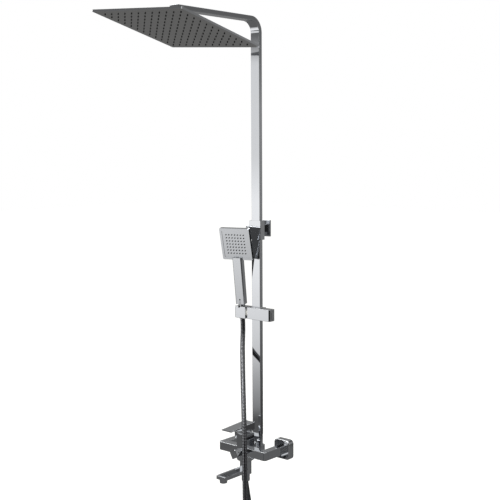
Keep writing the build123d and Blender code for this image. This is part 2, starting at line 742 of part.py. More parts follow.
with BuildPart() as lock_button:
    with BuildSketch(side(49)):
        with Locations((-39, SLIDER_Z)):
            RectangleRounded(13.4, 21.4, 1.0)
    extrude(amount=SLIDER_RIGHT - 49 + 0.8)
    chamfer(lock_button.faces().sort_by(Axis.X)[-1].edges(), length=0.5)
    with BuildSketch(side(49)):
        with Locations((-39, SLIDER_Z)):
            Circle(2.5)
    extrude(amount=-8)
lock_button.part.label = "lock_button"
export_step(lock_button.part, "parts/lock_button.step")

with BuildPart() as lock_spring:
    with BuildSketch(side(26.2)):
        with Locations((-39, SLIDER_Z)):
            Circle(5.5)
            Circle(3.6, mode=Mode.SUBTRACT)
    extrude(amount=22.6)
lock_spring.part.label = "lock_spring"
export_step(lock_spring.part, "parts/lock_spring.step")

with BuildPart() as lock_shoe:
    with BuildSketch(side(15.1)):
        with Locations((-39, SLIDER_Z)):
            Circle(3.0)
    extrude(amount=20)
lock_shoe.part.label = "lock_shoe"
export_step(lock_shoe.part, "parts/lock_shoe.step")

# ---------------------------------------------------------------- holder
handset_axis = Plane(origin=(SOCKET_X, SOCKET_Y, SLIDER_Z))
handset_axis = handset_axis.rotated((HANDSET_TILT, HANDSET_ROLL, HANDSET_YAW))


def along(height):
    """A plane square to the hand shower's axis, height mm up it."""
    return handset_axis.offset(height)


CONE_LOW_R, CONE_TOP_R = 10.4, 12.6
CONE_LOW, CONE_TOP = -18.0, 16.5

with BuildPart() as holder_block:
    with BuildSketch(level(SLIDER_LOW)) as holder_plan:
        with Locations(((HOLDER_LEFT + HOLDER_RIGHT) / 2, (SLIDER_FRONT + SLIDER_BACK) / 2)):
            Rectangle(HOLDER_RIGHT - HOLDER_LEFT, SLIDER_BACK - SLIDER_FRONT + 6)
        fillet(holder_plan.vertices().group_by(Axis.X)[0], radius=5)
    extrude(amount=SLIDER_TOP - SLIDER_LOW)
    edge_loop = holder_block.edges().group_by(Axis.Z)
    fillet(edge_loop[0] + edge_loop[-1], radius=0.8)
    with BuildSketch(along(CONE_LOW - 6)):
        Circle(CONE_LOW_R + 0.1 - 6 * (CONE_TOP_R - CONE_LOW_R) / (CONE_TOP - CONE_LOW))
    with BuildSketch(along(CONE_TOP + 8)):
        Circle(CONE_TOP_R + 0.1 + 8 * (CONE_TOP_R - CONE_LOW_R) / (CONE_TOP - CONE_LOW))
    loft(mode=Mode.SUBTRACT)
    with BuildSketch(side(HOLDER_RIGHT)):
        with Locations((SOCKET_Y, SLIDER_Z)):
            Circle(4.0 + RUN)
    extrude(amount=-7, mode=Mode.SUBTRACT)
holder_block.part.label = "holder_block"
export_step(holder_block.part, "parts/holder_block.step")

with BuildPart() as tilt_axle:
    with BuildSketch(side(HOLDER_RIGHT - 6.5)):
        with Locations((SOCKET_Y, SLIDER_Z)):
            Circle(4.0)
    extrude(amount=SLIDER_LEFT - HOLDER_RIGHT + 6.5 + 3.9)
tilt_axle.part.label = "tilt_axle"
export_step(tilt_axle.part, "parts/tilt_axle.step")

with BuildPart() as tilt_washer:
    with BuildSketch(side(HOLDER_RIGHT + GAP)):
        with Locations((SOCKET_Y, SLIDER_Z)):
            Circle(10.5)
            Circle(4.0, mode=Mode.SUBTRACT)
    extrude(amount=SLIDER_LEFT - HOLDER_RIGHT - GAP)
tilt_washer.part.label = "tilt_washer"
export_step(tilt_washer.part, "parts/tilt_washer.step")

with BuildPart() as hose_cone_nut:
    with BuildSketch(along(CONE_LOW)):
        Circle(CONE_LOW_R)
    with BuildSketch(along(CONE_TOP)):
        Circle(CONE_TOP_R)
    loft()
    with BuildSketch(along(CONE_LOW - 1)):
        Circle(HOSE_R + 0.15)
    extrude(amount=CONE_TOP - CONE_LOW + 2, mode=Mode.SUBTRACT)
hose_cone_nut.part.label = "hose_cone_nut"
export_step(hose_cone_nut.part, "parts/hose_cone_nut.step")

# ================================================================ hand shower
with BuildPart() as handle_neck:
    with BuildSketch(along(CONE_TOP + GAP + 1.7)):
        Circle(9.2)
        Circle(5.0, mode=Mode.SUBTRACT)
    extrude(amount=HANDLE_LOW - CONE_TOP - GAP + 10)
handle_neck.part.label = "handle_neck"
export_step(handle_neck.part, "parts/handle_neck.step")

with BuildPart() as hose_washer:
    with BuildSketch(along(CONE_TOP + GAP)):
        Circle(9.0)
        Circle(4.5, mode=Mode.SUBTRACT)
    extrude(amount=1.6)
hose_washer.part.label = "hose_washer"
export_step(hose_washer.part, "parts/hose_washer.step")


def handle_section(height, inset):
    """The handle's cross-section: it gets deeper towards the head, and its front face stays put."""
    share = (height - HANDLE_LOW) / (HANDLE_TOP - HANDLE_LOW)
    depth = 18 + 2 * share
    with BuildSketch(along(height)) as section:
        with Locations((0, depth / 2 - 9)):
            RectangleRounded(HANDLE_W - 2 * inset, depth - 2 * inset, 3.0 - inset / 2)
    return section.sketch


with BuildPart() as handle_shell:
    add(handle_section(HANDLE_LOW, 0))
    add(handle_section(HANDLE_TOP, 0))
    loft()
    with BuildSketch(along(HANDLE_LOW - 1)):
        Circle(5.0)
    extrude(amount=HANDLE_TOP - HANDLE_LOW + 2, mode=Mode.SUBTRACT)
    with BuildSketch(along(HANDLE_LOW - 1)):
        Circle(9.2)
    extrude(amount=CONE_TOP + 13.7 + 1 - HANDLE_LOW - 1 + 10, mode=Mode.SUBTRACT)
handle_shell.part.label = "handle_shell"
export_step(handle_shell.part, "parts/handle_shell.step")

# ---------------------------------------------------------------- spray head
head_axis = Plane(handset_axis.location * Location((0, -HEAD_FORWARD, HEAD_UP), (HEAD_TIP, 0, 0)))


def face(depth):
    """A plane parallel to the spray face, depth mm behind it, that faces the bather."""
    return Plane(
        origin=head_axis.from_local_coords((0, depth, 0)),
        x_dir=head_axis.x_dir,
        z_dir=-head_axis.y_dir,
    )


HEAD_THICK = 12.0
RECESS, CHAMBER = 78.0, 72.0

with BuildPart() as head_shell:
    with BuildSketch(face(HEAD_THICK)):
        RectangleRounded(HEAD_SIZE, HEAD_SIZE, 4.0)
    extrude(amount=HEAD_THICK)
    back_rim = head_shell.faces().filter_by(
        lambda f: abs(head_axis.to_local_coords(f.center()).Y - HEAD_THICK) < 0.01
    )
    fillet(back_rim.edges(), radius=3.0)
    with BuildSketch(face(3.9)):
        RectangleRounded(RECESS, RECESS, 2.0)
    extrude(amount=5, mode=Mode.SUBTRACT)
    with BuildSketch(face(8.6)):
        RectangleRounded(CHAMBER, CHAMBER, 2.0)
    extrude(amount=5, mode=Mode.SUBTRACT)
    add(handle_section(HANDLE_LOW, 0))
    add(handle_section(HANDLE_TOP, 0))
    loft(mode=Mode.SUBTRACT)
    with BuildSketch(along(HANDLE_TOP - 12)):
        with Locations((0, 3)):
            Circle(2.5)
    extrude(amount=20, mode=Mode.SUBTRACT)
head_shell.part.label = "head_shell"
export_step(head_shell.part, "parts/head_shell.step")

with BuildPart() as spray_plate:
    with BuildSketch(face(2.8)):
        RectangleRounded(RECESS - 0.2, RECESS - 0.2, 1.9)
        with GridLocations(HANDSET_PITCH, HANDSET_PITCH, HANDSET_ROWS, HANDSET_ROWS):
            Circle(1.7, mode=Mode.SUBTRACT)
    extrude(amount=1.8)
spray_plate.part.label = "spray_plate"
export_step(spray_plate.part, "parts/spray_plate.step")

with BuildPart() as handset_nozzles:
    with BuildSketch(face(3.85)):
        RectangleRounded(RECESS - 0.2, RECESS - 0.2, 1.9)
    extrude(amount=1.0)
    with BuildSketch(face(3.85)):
        with GridLocations(HANDSET_PITCH, HANDSET_PITCH, HANDSET_ROWS, HANDSET_ROWS):
            Circle(1.65)
    extrude(amount=3.65)
    with BuildSketch(face(4.0)):
        with GridLocations(HANDSET_PITCH, HANDSET_PITCH, HANDSET_ROWS, HANDSET_ROWS):
            Circle(0.6)
    extrude(amount=5, mode=Mode.SUBTRACT)
handset_nozzles.part.label = "handset_nozzles"
export_step(handset_nozzles.part, "parts/handset_nozzles.step")

# ================================================================ overhead shower
plate_axis = Plane(origin=(0, BALL_Y, BALL_Z)).rotated((PLATE_LEAN, PLATE_SIDE, PLATE_TURN))


def plate_level(height):
    """A plane parallel to the overhead plate, height mm above the ball centre."""
    return plate_axis.offset(height)


PLATE_LOW = -PLATE_DROP
PLATE_TOP = PLATE_LOW + PLATE_THICK
SEAL_R, SEAT_R, CAVITY_R = 10.0, 11.5, 11.6

with BuildPart() as arm_nipple:
    with BuildSketch(level(BALL_Z)):
        with Locations((0, BALL_Y)):
            Circle(4.5)
    extrude(amount=ARM_TOP - 4 - BALL_Z)
    with BuildSketch(level(ARM_TOP - TUBE_D - 7)):
        with Locations((0, BALL_Y)):
            Circle(11.0)
    extrude(amount=7)
    chamfer(arm_nipple.edges().filter_by(GeomType.CIRCLE).filter_by(lambda e: e.radius > 10), length=0.6)
    with BuildSketch(level(ARM_TOP - TUBE_D)):
        with Locations((0, BALL_Y)):
            Circle(7.0)
    extrude(amount=8)
    with Locations((0, BALL_Y, BALL_Z)):
        Sphere(BALL_R)
    with BuildSketch(level(BALL_Z - BALL_R)):
        with Locations((0, BALL_Y)):
            Circle(2.5)
    extrude(amount=50, mode=Mode.SUBTRACT)
arm_nipple.part.label = "arm_nipple"
export_step(arm_nipple.part, "parts/arm_nipple.step")


def ball_ring(inner, outer, low, high):
    """A ring between two spheres about the ball centre, cut off below and above."""
    with BuildPart() as ring:
        with BuildSketch(plate_level(low)):
            Circle(outer)
        extrude(amount=high - low)
        with Locations(plate_axis):
            Sphere(outer, mode=Mode.INTERSECT)
            Sphere(inner, mode=Mode.SUBTRACT)
    return ring.part


with BuildPart() as ball_seal:
    add(ball_ring(BALL_R + RUN, SEAL_R, -6.5, 4.0))
ball_seal.part.label = "ball_seal"
export_step(ball_seal.part, "parts/ball_seal.step")

with BuildPart() as ball_seat:
    add(ball_ring(SEAL_R + RUN, SEAT_R, -7.5, 5.0))
ball_seat.part.label = "ball_seat"
export_step(ball_seat.part, "parts/ball_seat.step")

NUT_TOP_Z, NUT_R, LIP_R = 8.0, 15.0, 9.5
lip_height = sqrt(CAVITY_R**2 - LIP_R**2)
nut_section = Plane(plate_axis.location * Rotation(90, 0, 0))

with BuildPart() as swivel_nut:
    with BuildSketch(nut_section):
        with BuildLine():
            Polyline(
                (CAVITY_R, 0),
                (CAVITY_R, PLATE_TOP),
                (NUT_R, PLATE_TOP),
                (NUT_R, NUT_TOP_Z - 0.8),
                (NUT_R - 0.8, NUT_TOP_Z),
                (LIP_R, NUT_TOP_Z),
                (LIP_R, lip_height),
            )
            RadiusArc((LIP_R, lip_height), (CAVITY_R, 0), CAVITY_R)
        make_face()
    revolve(axis=Axis(plate_axis.origin, plate_axis.z_dir))
    with BuildSketch(plate_level(PLATE_TOP + 3)):
        with PolarLocations(NUT_R + 1, 2):
            Rectangle(4, 20)
    extrude(amount=14, mode=Mode.SUBTRACT)
swivel_nut.part.label = "swivel_nut"
export_step(swivel_nut.part, "parts/swivel_nut.step")

with BuildPart() as shower_tray:
    with BuildSketch(plate_level(PLATE_LOW)):
        RectangleRounded(PLATE, PLATE, 3.0)
    extrude(amount=PLATE_THICK)
    with BuildSketch(plate_level(PLATE_LOW)):
        RectangleRounded(PLATE - 5, PLATE - 5, 2.0)
    extrude(amount=2.2, mode=Mode.SUBTRACT)
    with BuildSketch(plate_level(PLATE_LOW)):
        RectangleRounded(PLATE - 16, PLATE - 16, 2.0)
    extrude(amount=3.7, mode=Mode.SUBTRACT)
    with BuildSketch(plate_level(PLATE_TOP)):
        Circle(11.5)
    extrude(amount=3.0)
    with BuildSketch(plate_level(PLATE_LOW)):
        Circle(5.0)
    extrude(amount=12, mode=Mode.SUBTRACT)
shower_tray.part.label = "shower_tray"
export_step(shower_tray.part, "parts/shower_tray.step")

with BuildPart() as shower_face:
    with BuildSketch(plate_level(PLATE_LOW)):
        RectangleRounded(PLATE - 5.2, PLATE - 5.2, 1.9)
        with GridLocations(NOZZLE_PITCH, NOZZLE_PITCH, NOZZLE_ROWS, NOZZLE_ROWS):
            Circle(2.2, mode=Mode.SUBTRACT)
    extrude(amount=1.2)
shower_face.part.label = "shower_face"
export_step(shower_face.part, "parts/shower_face.step")

with BuildPart() as nozzle_mat:
    with BuildSketch(plate_level(PLATE_LOW + 1.2)):
        RectangleRounded(PLATE - 5.2, PLATE - 5.2, 1.9)
    extrude(amount=1.0)
    with BuildSketch(plate_level(PLATE_LOW - 1.0)):
        with GridLocations(NOZZLE_PITCH, NOZZLE_PITCH, NOZZLE_ROWS, NOZZLE_ROWS):
            Circle(2.1)
    extrude(amount=2.4)
    with BuildSketch(plate_level(PLATE_LOW - 1.2)):
        with GridLocations(NOZZLE_PITCH, NOZZLE_PITCH, NOZZLE_ROWS, NOZZLE_ROWS):
            Circle(0.8)
    extrude(amount=5, mode=Mode.SUBTRACT)
nozzle_mat.part.label = "nozzle_mat"
export_step(nozzle_mat.part, "parts/nozzle_mat.step")

# ================================================================ hose
# The hose keeps its length: it leaves the cone nut, passes in front of the mixer, hangs in one
# wide loop below it and comes up to the outlet nut.
HOSE_BORE_R = 4.5
HOSE_POINTS = (
    (-49.0, -42.6, 393.3),
    (-50.8, -34.9, 342.0),
    (-44.0, -47.0, 286.0),
    (-8.0, -87.0, 222.0),
    (31.0, -129.0, 160.0),
    (58.0, -157.0, 84.0),
    (72.0, -172.0, 0.0),
    (79.0, -179.0, -90.0),
    (82.0, -181.0, -180.0),
    (82.0, -178.0, -270.0),
    (81.0, -174.0, -349.0),
    (54.0, -140.0, -398.0),
    (9.5, -83.0, -401.0),
    (-19.0, -46.0, -353.0),
    (-18.0, -42.0, -276.0),
    (-9.0, -53.0, -204.0),
    (-3.0, -72.0, -141.0),
    (0.0, COLUMN_Y, NUT_LOW + 0.3),
)


def hose_radii(points):
    """The largest bend radius each corner of the route can take, from its shorter run and its turn."""
    radii = []
    for before, corner, after in zip(points, points[1:], points[2:]):
        into, out = Vector(corner) - Vector(before), Vector(after) - Vector(corner)
        turn = radians(into.get_angle(out))
        radii.append(round(0.45 * min(into.length, out.length) / tan(turn / 2), 1))
    return radii


bend_radii = hose_radii(HOSE_POINTS)
print("hose bend radii", bend_radii)

with BuildPart() as hose:
    with BuildLine() as hose_path:
        FilletPolyline(*HOSE_POINTS, radius=bend_radii)
    first_run = Vector(HOSE_POINTS[1]) - Vector(HOSE_POINTS[0])
    with BuildSketch(Plane(origin=HOSE_POINTS[0], z_dir=first_run)):
        Circle(HOSE_R)
        Circle(HOSE_BORE_R, mode=Mode.SUBTRACT)
    sweep(path=hose_path)
hose.part.label = "hose"
export_step(hose.part, "parts/hose.step")

section = 3.141593 * (HOSE_R**2 - HOSE_BORE_R**2)
print("hose length", sum(edge.length for edge in hose_path.edges()))
print("hose volume over its section", hose.part.volume / section)
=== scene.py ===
# %% [markdown]
# # A shower column in polished chrome
# The column is mostly plated brass and steel, so it has almost no colour of its own: it shows the
# room. Most of the work is in three things: what stands around it to be reflected, the small parts
# that repeat (nozzles, hose ribs, threads), and finishes that are not all equally shiny.
# The CAD pieces come in first and stay where they are. Everything here is in metres.

# %% Load the column
import bpy
import json
from math import cos, pi, radians, sin
from mathutils import Matrix, Vector


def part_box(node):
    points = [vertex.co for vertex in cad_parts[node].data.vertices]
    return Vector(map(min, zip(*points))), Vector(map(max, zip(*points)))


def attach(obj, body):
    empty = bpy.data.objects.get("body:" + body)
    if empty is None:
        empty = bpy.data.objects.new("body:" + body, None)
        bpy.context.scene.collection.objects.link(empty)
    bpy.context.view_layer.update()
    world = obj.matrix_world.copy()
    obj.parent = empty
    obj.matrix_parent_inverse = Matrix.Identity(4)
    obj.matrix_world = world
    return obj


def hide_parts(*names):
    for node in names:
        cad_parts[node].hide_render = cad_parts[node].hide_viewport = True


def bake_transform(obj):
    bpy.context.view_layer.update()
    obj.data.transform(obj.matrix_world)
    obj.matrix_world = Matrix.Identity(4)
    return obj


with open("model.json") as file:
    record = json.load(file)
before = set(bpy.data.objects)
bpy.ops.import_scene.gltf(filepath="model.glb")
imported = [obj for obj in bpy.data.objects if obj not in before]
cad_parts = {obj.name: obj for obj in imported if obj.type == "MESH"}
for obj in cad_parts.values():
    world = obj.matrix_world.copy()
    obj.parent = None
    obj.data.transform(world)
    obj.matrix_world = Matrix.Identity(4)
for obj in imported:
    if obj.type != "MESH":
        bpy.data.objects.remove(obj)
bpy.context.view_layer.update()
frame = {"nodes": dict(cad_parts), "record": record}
nodes = frame["nodes"]

# %% [markdown]
# ## Camera
# A long lens keeps the tall riser straight. The camera stands about 2.7 m away, in front and to the
# right, a little above the hand shower, and looks slightly down. Its directions are worked out from
# three angles, so each can be changed alone.

# %% Camera
yaw, pitch, roll = radians(41.0), radians(-5.9), radians(-0.28)
forward = Vector((-sin(yaw) * cos(pitch), cos(yaw) * cos(pitch), sin(pitch)))
level = Vector((cos(yaw), sin(yaw), 0))
upright = level.cross(forward)
across = level * cos(roll) + upright * sin(roll)
upward = upright * cos(roll) - level * sin(roll)
lens = bpy.data.cameras.new("camera")
lens.lens, lens.sensor_width = 69.44, 36.0
camera = bpy.data.objects.new("camera", lens)
bpy.context.scene.collection.objects.link(camera)
camera.matrix_world = Matrix.Translation((1.7322, -2.0558, 0.8317)) @ Matrix(
    (across, upward, -forward)
).transposed().to_4x4()
bpy.context.scene.camera = camera
print("camera is", round((camera.location - Vector((0, -0.1, 0.5))).length, 2), "m from the riser")

# %% [markdown]
# ## Two helpers
# Colours are chosen as hex values, as on a colour card, and the renderer wants linear light, so one
# function converts them. The other adds a node, sets it and links it in one line, for materials and
# for Geometry Nodes alike.

# %% Colour and node helpers
def linear(hex_colour):
    """A colour card value such as "c8c9cb" as linear red, green, blue and alpha."""
    parts = [int(hex_colour[i : i + 2], 16) / 255 for i in (0, 2, 4)]
    return [p / 12.92 if p <= 0.04045 else ((p + 0.055) / 1.055) ** 2.4 for p in parts] + [1.0]


def add(tree, kind, inputs=None, **settings):
    """Adds a node with its settings. Each input is a value, or another node's socket to link."""
    node = tree.nodes.new(kind)
    for name, value in settings.items():
        setattr(node, name, value)
    for name, value in (inputs or {}).items():
        if isinstance(value, bpy.types.NodeSocket):
            tree.links.new(value, node.inputs[name])
        else:
            node.inputs[name].default_value = value
    return node


# %% [markdown]
# ## Metal finishes
# Chrome plating is a mirror with a faint blue-grey tint. Real plating is never equally clean, so a
# large, soft noise moves the roughness a little, as wiping does, and a much finer one gives the
# slight orange peel of plated castings. Sheet and machined metal use the same recipe with other
# sizes, so one function makes them all.

# %% Metal recipe
def metal(name, colour, rough, wipe_mm, grain_mm, peel, stretch=(1, 1, 1)):
    """A bare or plated metal. wipe_mm is the size of its cleaner patches, grain_mm of its grain.

    peel is how deep the grain looks, and stretch draws it out along one direction.
    """
    material = bpy.data.materials.new(name)
    material.use_nodes = True
    tree = material.node_tree
    shader = tree.nodes["Principled BSDF"]
    place = add(tree, "ShaderNodeTexCoord").outputs["Object"]
    fine = add(tree, "ShaderNodeMapping", {"Vector": place, "Scale": stretch}).outputs["Vector"]
    wipe = add(tree, "ShaderNodeTexNoise", {
        "Vector": place, "Scale": 1000 / wipe_mm, "Detail": 3.0,
    })
    grain = add(tree, "ShaderNodeTexNoise", {
        "Vector": fine, "Scale": 1000 / grain_mm, "Detail": 2.0,
    })
    spread = add(tree, "ShaderNodeMapRange", {
        "Value": wipe.outputs["Fac"], "From Min": 0.35, "From Max": 0.7,
        "To Min": rough * 0.7, "To Max": rough * 1.5,
    })
    bump = add(tree, "ShaderNodeBump", {
        "Height": grain.outputs["Fac"], "Strength": peel, "Distance": 0.0002,
    })
    shader.inputs["Base Color"].default_value = linear(colour)
    shader.inputs["Metallic"].default_value = 1.0
    tree.links.new(spread.outputs["Result"], shader.inputs["Roughness"])
    tree.links.new(bump.outputs["Normal"], shader.inputs["Normal"])
    return material


# %% [markdown]
# ## The metals of this column
# The sizes are in millimetres: a hand's wipe is some 60 mm wide, and the orange peel of a plated
# casting repeats every 9 mm or so. The marks on sheet and on turned metal are finer than this in
# life, and are drawn about 1 mm apart so that they show. Brass shows only where nothing is plated.

# %% Metals
# nickel-chrome plating on brass: nearly a perfect mirror, faintly blue, hardly any blur
chrome_plate = metal("chrome_plate", "d3d5d8", 0.045, 60, 9, 0.02)
# the same plating on moulded ABS: a little wavier, so straight reflections tremble
chromed_abs = metal("chromed_abs", "cfd1d4", 0.07, 40, 7, 0.05)
# polished stainless sheet: warmer and darker than chrome, with a soft blur and a grain one way
polished_steel_sheet = metal("polished_steel_sheet", "c4c3c1", 0.14, 80, 1.2, 0.05, (1, 9, 1))
# turned brass: yellow and satin, with fine marks that break up its highlights
machined_brass = metal("machined_brass", "c8a45c", 0.24, 12, 0.9, 0.15, (1, 6, 1))
# cold drawn steel wire and screws: grey, with fine marks that dull the shine
drawn_steel = metal("drawn_steel", "a9aaac", 0.28, 10, 0.8, 0.15, (6, 1, 1))

# %% [markdown]
# ## Rubber and plastic
# The nozzles are silicone, so that lime can be rubbed off with a thumb. Seals are EPDM rubber. The
# cartridge and the slider's liner are acetal, a hard and slippery plastic. None of them is a
# mirror, so a raised roughness and a faint moulded grain are enough to set them off from the metal.

# %% Soft finishes
def moulded(name, colour, second, rough, grain_mm, depth):
    """A moulded plastic or rubber: two close colours, mixed in patches, over a fine grain."""
    material = bpy.data.materials.new(name)
    material.use_nodes = True
    tree = material.node_tree
    shader = tree.nodes["Principled BSDF"]
    place = add(tree, "ShaderNodeTexCoord").outputs["Object"]
    patch = add(tree, "ShaderNodeTexNoise", {"Vector": place, "Scale": 90.0, "Detail": 4.0})
    blend = add(tree, "ShaderNodeMix", {
        "Factor": patch.outputs["Fac"], "A": linear(colour), "B": linear(second),
    }, data_type="RGBA")
    grain = add(tree, "ShaderNodeTexNoise", {
        "Vector": place, "Scale": 1000 / grain_mm, "Detail": 2.0,
    })
    bump = add(tree, "ShaderNodeBump", {
        "Height": grain.outputs["Fac"], "Strength": depth, "Distance": 0.0002,
    })
    tree.links.new(blend.outputs["Result"], shader.inputs["Base Color"])
    tree.links.new(bump.outputs["Normal"], shader.inputs["Normal"])
    shader.inputs["Roughness"].default_value = rough
    return material


# moulded silicone: almost black and quite matt, so each nozzle reads as a dark dot
nozzle_silicone = moulded("nozzle_silicone", "131314", "1d1d1f", 0.6, 1.5, 0.3)
# moulded EPDM rubber: black and matt
seal_rubber = moulded("seal_rubber", "161616", "222222", 0.6, 1.0, 0.3)
# turned acetal: a warm, waxy white with a soft shine
acetal = moulded("acetal", "d9d8d2", "cfcec8", 0.38, 2.0, 0.15)

# %% [markdown]
# ## Finishes on the CAD pieces
# Each CAD piece already names the slot it is finished in, so the finishes are handed out by slot.
# The pieces keep their shape; only what covers them changes. Four of them, the hose, the lock
# spring and the two sets of nozzles, are replaced further down by more detailed pieces.

# %% Hand out the finishes
finishes = {
    "chrome": chrome_plate,
    "steel_face": polished_steel_sheet,
    "chromed_plastic": chromed_abs,
    "brass": machined_brass,
    "steel": drawn_steel,
    "plastic": acetal,
    "rubber": seal_rubber,
    "nozzle_rubber": nozzle_silicone,
    "hose_metal": chrome_plate,
}
for piece in frame["record"]["subparts"]:
    mesh = nodes[piece["node"]].data
    mesh.materials.clear()
    mesh.materials.append(finishes[piece["material_slot"]])

# %% [markdown]
# ## The hose route
# A shower hose is a strip of bright steel wound round a rubber tube. It is limp over a long span
# but will not bend tightly, so it leaves the holder, passes in front of the mixer, hangs in one
# wide loop and comes up to the nut under the mixer. A NURBS spline of order 3 through a few guide
# points gives exactly such a line, with no flat spots.

# %% Hose route
def evaluated_mesh(source):
    """A plain mesh of what an object looks like once its curve or its modifiers have run."""
    bpy.context.view_layer.update()
    seen = source.evaluated_get(bpy.context.evaluated_depsgraph_get())
    return bpy.data.meshes.new_from_object(seen)


hose_points_mm = (
    (-49.0, -42.6, 393.3),
    (-50.8, -34.9, 342.0),
    (-44.0, -47.0, 286.0),
    (-8.0, -87.0, 222.0),
    (31.0, -129.0, 160.0),
    (58.0, -157.0, 84.0),
    (72.0, -172.0, 0.0),
    (79.0, -179.0, -90.0),
    (82.0, -181.0, -180.0),
    (82.0, -178.0, -270.0),
    (81.0, -174.0, -349.0),
    (54.0, -140.0, -398.0),
    (9.5, -83.0, -401.0),
    (-19.0, -46.0, -353.0),
    (-18.0, -42.0, -276.0),
    (-9.0, -53.0, -204.0),
    (-3.0, -72.0, -141.0),
    (0.0, -86.0, -87.7),
)
route = bpy.data.curves.new("hose_route", "CURVE")
route.dimensions = "3D"
route.resolution_u = 24
spline = route.splines.new("NURBS")
spline.points.add(len(hose_points_mm) - 1)
for point, place_mm in zip(spline.points, hose_points_mm):
    point.co = [value / 1000 for value in place_mm] + [1.0]
spline.order_u = 3
spline.use_endpoint_u = True
hose_line = bpy.data.objects.new("hose_line", route)
bpy.context.scene.collection.objects.link(hose_line)
hose_path = [tuple(vertex.co) for vertex in evaluated_mesh(hose_line).vertices]

# %% [markdown]
# ## Growing a mesh from a node tree
# What repeats is made by Geometry Nodes, one tree for each kind of repeat. Every tree starts with
# named inputs, and ends by turning its instances into real faces and covering them. A modifier's
# result is live, while a finished piece should be a plain mesh, so the last of these helpers puts
# a tree on an object, sets its inputs by the identifiers of their sockets, reads the result back
# as a mesh and takes the modifier off again.

# %% Tree helpers
def new_tree(name, inputs):
    """An empty Geometry Nodes tree with a geometry output and the named inputs."""
    tree = bpy.data.node_groups.new(name, "GeometryNodeTree")
    tree.interface.new_socket("Geometry", in_out="INPUT", socket_type="NodeSocketGeometry")
    tree.interface.new_socket("Geometry", in_out="OUTPUT", socket_type="NodeSocketGeometry")
    for label, (kind, value) in inputs.items():
        tree.interface.new_socket(label, in_out="INPUT", socket_type=kind).default_value = value
    return tree, tree.nodes.new("NodeGroupInput"), tree.nodes.new("NodeGroupOutput")


def finish_tree(tree, geometry, output, material):
    """Ends a tree: instances become real faces, and they get their material."""
    real = add(tree, "GeometryNodeRealizeInstances", {"Geometry": geometry})
    done = add(tree, "GeometryNodeSetMaterial", {
        "Geometry": real.outputs[0], "Material": material,
    })
    tree.links.new(done.outputs[0], output.inputs[0])


def grown(name, source, tree, values=None):
    """The mesh that the tree makes on the source object, as a new object at the origin."""
    modifier = source.modifiers.new(name, "NODES")
    modifier.node_group = tree
    for item in tree.interface.items_tree:
        if item.in_out == "INPUT" and item.name in (values or {}):
            modifier[item.identifier] = values[item.name]
    mesh = evaluated_mesh(source)
    source.modifiers.remove(modifier)
    piece = bpy.data.objects.new(name, mesh)
    bpy.context.scene.collection.objects.link(piece)
    print(name, len(mesh.polygons), "faces")
    return piece


# %% [markdown]
# ## The hose's finish
# The wound strip is plated like the riser. Its colour is darkened in the gaps between the ribs,
# which is painted shade standing in for the shadow where the strip turns under. The tree below
# stores a value named rib along the line, from -1 in a gap to 1 on a crest, and this finish reads
# it, so colour and shape always agree.

# %% Hose finish
STRIP, GAP_SHADE = "8f9093", "161617"
# interlocked steel strip: its own colour on the crests and painted shade, nearly black, between
# them, so the hose looks banded
interlocked_steel = metal("interlocked_steel", STRIP, 0.16, 30, 2.5, 0.1)
strip_tree = interlocked_steel.node_tree
crest = add(strip_tree, "ShaderNodeAttribute", attribute_name="rib")
depth = add(strip_tree, "ShaderNodeMapRange", {
    "Value": crest.outputs["Fac"], "From Min": -0.9, "From Max": 0.4,
})
# the rib value mixes in the painted gap shade: full shade deep in a gap, none on a crest
banded = add(strip_tree, "ShaderNodeMix", {
    "Factor": depth.outputs["Result"], "A": linear(GAP_SHADE), "B": linear(STRIP),
}, data_type="RGBA")
strip_shader = strip_tree.nodes["Principled BSDF"]
strip_tree.links.new(banded.outputs["Result"], strip_shader.inputs["Base Color"])

# %% [markdown]
# ## The hose
# The wound strip shows as narrow ribs with dark gaps. One circle swept along the line would be a
# pipe, so the tree samples the line every millimetre and lets the sweep's radius swing with the
# distance along it: one swing per rib. The ribs then follow every bend and stay evenly spaced.
# First come the samples and the swing, which is a radius and also the rib value the finish reads.

# %% Hose tree: the ribs
RIB_MM = 4.0  # the real strip's pitch is about 3 mm; a little coarser so that it shows
SAMPLES_PER_RIB = 4
hose_tree, given, result = new_tree("hose_ribs", {
    "Radius": ("NodeSocketFloat", 0.0067),
    "Rib Height": ("NodeSocketFloat", 0.0003),
    "Rib Pitch": ("NodeSocketFloat", RIB_MM / 1000),
})
sampled = add(hose_tree, "GeometryNodeResampleCurve", {
    "Curve": given.outputs["Geometry"], "Length": RIB_MM / 1000 / SAMPLES_PER_RIB,
}, mode="LENGTH")
along = add(hose_tree, "GeometryNodeSplineParameter").outputs["Length"]
turns = add(hose_tree, "ShaderNodeMath", {
    0: along, 1: given.outputs["Rib Pitch"],
}, operation="DIVIDE")
angle = add(hose_tree, "ShaderNodeMath", {0: turns.outputs[0], 1: 2 * pi}, operation="MULTIPLY")
wave = add(hose_tree, "ShaderNodeMath", {0: angle.outputs[0]}, operation="SINE")
swell = add(hose_tree, "ShaderNodeMath", {
    0: wave.outputs[0], 1: given.outputs["Rib Height"], 2: given.outputs["Radius"],
}, operation="MULTIPLY_ADD")

# %% [markdown]
# Then the sampled line is given that radius and swept with a ring of 20 sides. Both ends are
# closed, because a hose that is cut open would show its inside.

